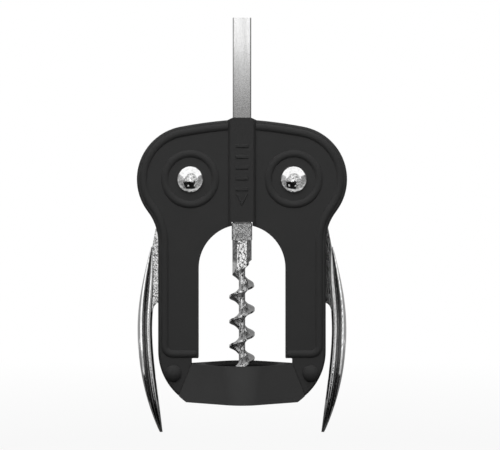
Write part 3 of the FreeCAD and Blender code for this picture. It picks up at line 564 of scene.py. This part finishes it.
def arrowOutline():
    # an arrowhead of two strokes that points down the channel
    half, stroke = channelMarks["arrowHalfWidth"], channelMarks["arrowStroke"]
    top, bottom = channelMarks["arrowTop"], channelMarks["arrowBottom"]
    length = math.hypot(half, top - bottom)
    run = stroke * length / (top - bottom)
    climb = stroke * length / half
    return [(0, bottom), (half, top), (half - run, top), (0, bottom + climb), (run - half, top), (-half, top)]


def makeChannelMarks():
    front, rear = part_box("front_plate")[0].y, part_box("rear_plate")[1].y
    for side, faceY, hand in (("front", front, -1), ("rear", rear, 1)):
        for number in range(channelMarks["tickCount"]):
            height = channelMarks["tickTop"] - number * channelMarks["tickStep"]
            raisedOutline(f"{side}Tick{number + 1}", tickOutline(height), faceY, hand)
        raisedOutline(f"{side}Arrow", arrowOutline(), faceY, hand)


makeChannelMarks()
print("corkscrew: marks on the channel")


# floor and the light all round
studio = {
    "floorHeight": -46 * mm,    # below the worm's tip at the end of its travel
    "floorSize": 8.0,
    "floorColour": 0.40,
    "floorRoughness": 0.9,
    "floorWhite": 0.93,         # share of plain white that the camera sees near the object
    "fadeFrom": 0.20,           # from here outwards the floor turns into the white backdrop
    "fadeTo": 0.70,
    "worldLight": 0.085,
}


def seenDirectly(tree):
    # 1 for what the camera, polished metal or glass sees, 0 for what lights the object
    path = addNode(tree, "ShaderNodeLightPath")
    seen = maths(tree, "MAXIMUM", path.outputs["Is Camera Ray"], path.outputs["Is Glossy Ray"])
    return maths(tree, "MAXIMUM", seen, path.outputs["Is Transmission Ray"])


def fromOrigin(tree):
    return addNode(tree, "ShaderNodeVectorMath", {0: objectPoint(tree)}, operation="LENGTH").outputs["Value"]


def floorMaterial():
    material, tree, shader = newMaterial("paleFloor")
    shader.inputs["Base Color"].default_value = grey(studio["floorColour"])
    shader.inputs["Roughness"].default_value = studio["floorRoughness"]
    fade = remap(tree, fromOrigin(tree), studio["floorWhite"], 1.0, studio["fadeFrom"], studio["fadeTo"])
    share = times(tree, seenDirectly(tree), fade)
    white = addNode(tree, "ShaderNodeEmission", {"Color": grey(1.0), "Strength": 1.0})
    mixed = addNode(tree, "ShaderNodeMixShader", {0: share, 1: shader.outputs[0], 2: white.outputs[0]})
    tree.links.new(mixed.outputs[0], tree.nodes["Material Output"].inputs["Surface"])
    return material


def makeFloor():
    mesh = bpy.data.meshes.new("floor")
    half = studio["floorSize"] / 2
    corners = [(-half, -half, 0), (half, -half, 0), (half, half, 0), (-half, half, 0)]
    mesh.from_pydata(corners, [], [(0, 1, 2, 3)])
    floor = bpy.data.objects.new("floor", mesh)
    floor.location.z = studio["floorHeight"]
    bpy.context.scene.collection.objects.link(floor)
    mesh.materials.append(floorMaterial())


def makeWorld():
    world = bpy.data.worlds.new("studioWhite")
    bpy.context.scene.world = world
    world.use_nodes = True
    tree = world.node_tree
    background = tree.nodes["Background"]
    background.inputs["Color"].default_value = grey(1.0)
    strength = remap(tree, seenDirectly(tree), studio["worldLight"], 1.0)
    tree.links.new(strength, background.inputs["Strength"])


# softboxes: place, point aimed at, size and power in watts; polished metal shows the boards in their stead
softboxes = {
    "overFront": {"at": (-0.05, -0.46, 0.56), "aim": (0, 0, 0.06), "size": (1.30, 0.75), "power": 8.4},
    "overBack": {"at": (0.05, 0.40, 0.60), "aim": (0, 0, 0.06), "size": (1.30, 0.75), "power": 6.0},
}


def makeLights():
    for name, box in softboxes.items():
        lamp = bpy.data.lights.new(name, "AREA")
        lamp.shape = "RECTANGLE"
        lamp.size, lamp.size_y = box["size"]
        lamp.energy = box["power"]
        holder = bpy.data.objects.new(name, lamp)
        holder.location = box["at"]
        towards = Vector(box["aim"]) - Vector(box["at"])
        holder.rotation_euler = towards.to_track_quat("-Z", "Y").to_euler()
        holder.visible_glossy = False
        bpy.context.scene.collection.objects.link(holder)


def upright(left, right, low, high):
    # outline of a board that stands across the view
    return [(left, 0, low), (right, 0, low), (right, 0, high), (left, 0, high)]


def level(left, right, near, far):
    return [(left, near, 0), (right, near, 0), (right, far, 0), (left, far, 0)]


def disc(radius, stepDegrees):
    turns = [math.radians(a) for a in range(0, 360, stepDegrees)]
    return [(radius * math.cos(turn), 0, radius * math.sin(turn)) for turn in turns]


# boards that only polished metal sees: what stands round the table, with its darkest and lightest tone
# and the scale of its clouds, or the distances from the object over which it grows lighter; the dark
# cloth over the floor keeps light from coming up at the object
boards = {
    "roomBehindCamera": {"at": (0, -0.80, 0), "tones": (0.20, 0.50), "clouds": 9.0,
                         "outline": upright(-0.9, 0.9, -0.31, 0.17)},
    "roundScreen": {"at": (0.04, -0.42, 0.08), "tones": (0.08, 0.95), "clouds": 14.0,
                    "outline": disc(0.35, 15)},
    "lowLamp": {"at": (-0.002, -0.41, 0.040), "tones": (1.4, 1.8), "clouds": 20.0,
                "outline": upright(-0.035, 0.035, -0.03, 0.012)},
    "highLamp": {"at": (-0.002, -0.41, 0.160), "tones": (1.1, 1.4), "clouds": 20.0,
                 "outline": upright(-0.03, 0.03, 0, 0.10)},
    "leftStrip": {"at": (-0.068, -0.41, 0), "tones": (0.9, 1.2), "clouds": 20.0,
                  "outline": upright(-0.018, 0.018, -0.044, 0.30)},
    "rightStrip": {"at": (0.070, -0.41, 0), "tones": (0.9, 1.2), "clouds": 20.0,
                   "outline": upright(-0.013, 0.016, -0.044, 0.30)},
    "darkStrip": {"at": (0.040, -0.41, 0.03), "tones": (0.02, 0.06), "clouds": 20.0,
                  "outline": upright(-0.014, 0.016, -0.06, 0.05)},
    "greyPaper": {"at": (0, 0.60, 0), "tones": (0.36, 0.43), "clouds": 3.0,
                  "outline": upright(-1.2, 1.2, -0.04, 1.5)},
    "leftScreen": {"at": (-0.95, 0, 0), "tones": (0.28, 0.58), "clouds": 4.0,
                   "outline": [(0, -0.79, -0.04), (0, 0.59, -0.04), (0, 0.59, 1.5), (0, -0.03, 1.2),
                               (0, -0.09, 0.5), (0, -0.79, 0.42)]},
    "rightScreen": {"at": (0.95, 0, 0), "tones": (0.12, 0.38), "clouds": 4.0,
                    "outline": [(0, 0.59, -0.04), (0, -0.79, -0.04), (0, -0.79, 0.42), (0, -0.09, 0.5),
                                (0, -0.03, 1.2), (0, 0.59, 1.5)]},
    "greyCeiling": {"at": (0, 0, 1.55), "tones": (0.40, 0.75), "clouds": 2.0,
                    "outline": level(-1.6, 1.6, 0.05, 1.6)},
    "greyTable": {"at": (0, 0, -0.0445), "tones": (0.02, 0.30), "fade": (0.06, 0.50),
                  "outline": level(-1.2, 1.2, 0.02, 0.6)},
    "paleCloth": {"at": (0, 0, -0.0445), "tones": (0.25, 0.65), "clouds": 12.0,
                  "outline": level(-1.2, 1.2, -0.045, 0.02)},
    "spottedCloth": {"at": (0, 0, -0.0445), "tones": (0.03, 0.50), "clouds": 12.0,
                     "outline": level(-1.2, 1.2, -0.8, -0.045)},
    "blackTable": {"at": (0, 0, -0.044), "tones": (0.004, 0.012), "clouds": 8.0,
                   "outline": [(-0.075, -0.05, 0), (-0.02, -0.062, 0), (0.045, -0.05, 0), (0.06, -0.10, 0),
                               (0.11, -0.12, 0), (0.085, -0.20, 0), (0.14, -0.34, 0), (0.06, -0.42, 0),
                               (0.02, -0.66, 0), (-0.08, -0.44, 0), (-0.16, -0.60, 0), (-0.34, -0.78, 0),
                               (-0.24, -0.36, 0), (-0.36, -0.30, 0), (-0.17, -0.14, 0)]},
    "leftCard": {"at": (-0.050, -0.10, 0), "tones": (0.25, 0.85), "clouds": 160.0,
                 "outline": upright(-0.012, 0.012, -0.034, 0)},
    "rightCard": {"at": (0.049, -0.10, 0), "tones": (0.25, 0.85), "clouds": 160.0,
                  "outline": upright(-0.012, 0.012, -0.034, 0)},
    "webCard": {"at": (0, -0.10, 0), "tones": (0.01, 0.03), "clouds": 8.0,
                "outline": upright(0.024, 0.0435, 0.020, 0.062)},
    "darkCloth": {"at": (0, 0, -0.045), "tones": (0.02, 0.04), "clouds": 3.0, "lit": True,
                  "outline": level(-1.4, 1.4, -1.4, 1.4)},
}
cloudDetail = (3.0, 0.5)    # detail and roughness of their noise
cloudSpan = (0.35, 0.65)


def boardMaterial(name, board):
    material, tree, shader = newMaterial(name)
    if "fade" in board:
        share = rise(tree, fromOrigin(tree), *board["fade"])
    else:
        share = rise(tree, noise(tree, objectPoint(tree), board["clouds"], *cloudDetail), *cloudSpan)
    glow = addNode(tree, "ShaderNodeEmission", {"Color": twoTones(tree, share, board["tones"])})
    tree.links.new(glow.outputs[0], tree.nodes["Material Output"].inputs["Surface"])
    return material


def makeBoards():
    for name, board in boards.items():
        mesh = bpy.data.meshes.new(name)
        mesh.from_pydata(board["outline"], [], [list(range(len(board["outline"])))])
        mesh.materials.append(boardMaterial(name, board))
        holder = bpy.data.objects.new(name, mesh)
        holder.location = board["at"]
        bpy.context.scene.collection.objects.link(holder)
        lit = board.get("lit", False)   # seen by the light that the object gets, and not by its metal
        holder.visible_camera = False
        holder.visible_shadow = False
        holder.visible_transmission = False
        holder.visible_glossy = not lit
        holder.visible_diffuse = lit


# camera
viewpoint = {
    "at": (3.2 * mm, -700 * mm, 62.25 * mm),
    "lens": 126.0,
    "sensor": 36.0,
    "tilt": 90.0,           # degrees up from looking straight down
}


def makeCamera():
    data = bpy.data.cameras.new("camera")
    data.lens = viewpoint["lens"]
    data.sensor_width = viewpoint["sensor"]
    camera = bpy.data.objects.new("camera", data)
    camera.location = viewpoint["at"]
    camera.rotation_euler = (math.radians(viewpoint["tilt"]), 0, 0)
    bpy.context.scene.collection.objects.link(camera)
    bpy.context.scene.camera = camera


makeFloor()
makeWorld()
makeLights()
makeBoards()
makeCamera()
bpy.context.scene.view_settings.view_transform = "Standard"
print("corkscrew: floor, softboxes and camera")
